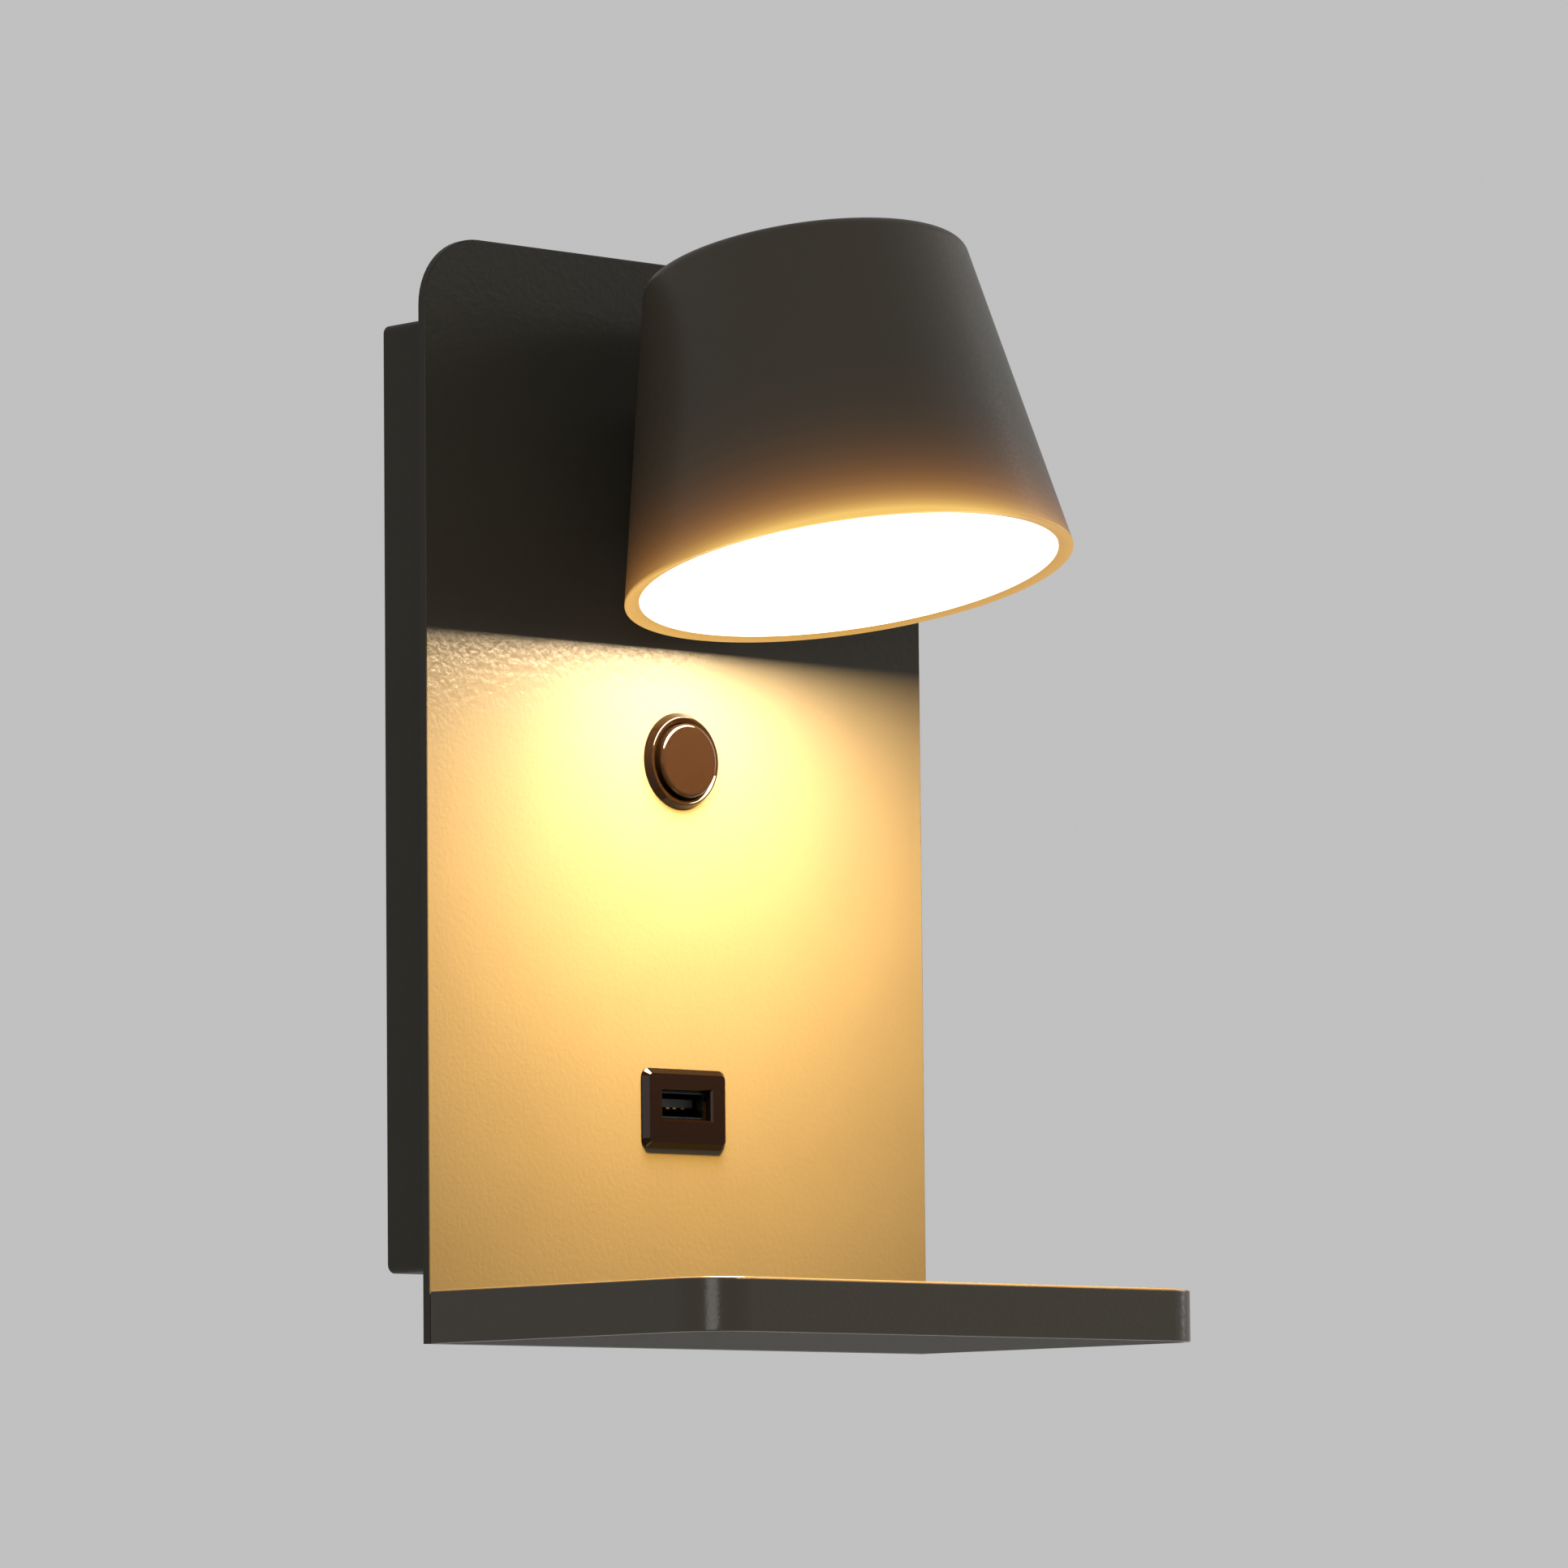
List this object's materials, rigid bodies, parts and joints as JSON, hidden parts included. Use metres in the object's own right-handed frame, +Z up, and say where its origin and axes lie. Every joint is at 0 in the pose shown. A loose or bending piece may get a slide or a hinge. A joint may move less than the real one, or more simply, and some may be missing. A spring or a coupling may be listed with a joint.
{
  "type": "wall reading lamp",
  "caption": "Wall lamp with a tapered swivelling light head on a flat face plate, a round push switch, a charging socket and a small shelf at the foot.",
  "frame": {"origin": "middle of the two wall screw slots, on the wall plane at the back of the lamp", "axes": "+Z up, +Y into the wall, +X to the viewer's right"},
  "size_m": [0.15, 0.1325, 0.2459],
  "materials": {
    "body_paint": "fine powder coat, satin",
    "shade_paint": "fine powder coat, satin",
    "zinc_steel": "zinc plated",
    "dark_steel": "black nickel plated",
    "brass": "plain",
    "rubber": "matte",
    "white_plastic": "moulded",
    "black_plastic": "moulded",
    "glossy_plastic": "glossy moulded",
    "circuit_board": "solder mask",
    "light_board": "white solder mask",
    "light_chip": "phosphor",
    "aluminium": "turned",
    "opal_diffuser": "opal, satin"
  },
  "bodies": {
    "wall_unit": {"face_plate": "body_paint", "housing": "body_paint", "shelf": "body_paint", "shelf_base": "body_paint", "wall_plate": "zinc_steel", "earth_stud": "zinc_steel", "earth_nut": "zinc_steel", "housing_screws": "zinc_steel", "plate_studs": "zinc_steel", "plate_nuts": "zinc_steel", "shelf_nuts": "zinc_steel", "shelf_screws": "zinc_steel", "terminal_screws": "zinc_steel", "terminal_fixing_screw": "zinc_steel", "stop_pin": "zinc_steel", "driver_screws": "zinc_steel", "switch_spring": "zinc_steel", "usb_shell": "dark_steel", "switch_terminals": "brass", "switch_nut": "brass", "usb_contacts": "brass", "cable_grommet": "rubber", "terminal_block": "white_plastic", "swivel_bush": "white_plastic", "friction_washer": "white_plastic", "led_driver": "white_plastic", "switch_body": "black_plastic", "usb_tongue": "black_plastic", "usb_board_parts": "black_plastic", "switch_bezel": "glossy_plastic", "usb_bezel": "glossy_plastic", "usb_board": "circuit_board"},
    "head": {"shade": "shade_paint", "shade_nut": "zinc_steel", "swivel_nipple": "brass", "spring_washer": "zinc_steel", "lock_nut": "zinc_steel", "heat_spreader": "aluminium", "spreader_screws": "zinc_steel", "led_board": "light_board", "board_screws": "zinc_steel", "led_chips": "light_chip", "reflector": "white_plastic", "diffuser": "opal_diffuser"},
    "button": {"switch_button": "glossy_plastic"}
  },
  "joints": [
    {"name": "head_swivel", "type": "hinge", "parent": "wall_unit", "child": "head", "pos_m": [0, -0.027, 0.0749], "axis": [0, 1, 0], "range_deg": [-165, 165]},
    {"name": "switch_press", "type": "slide", "parent": "wall_unit", "child": "button", "axis": [0, 1, 0], "range_m": [0, 0.002], "stiffness_N_per_m": 900, "springref_m": -0.0015, "deforming": ["switch_spring"]}
  ]
}
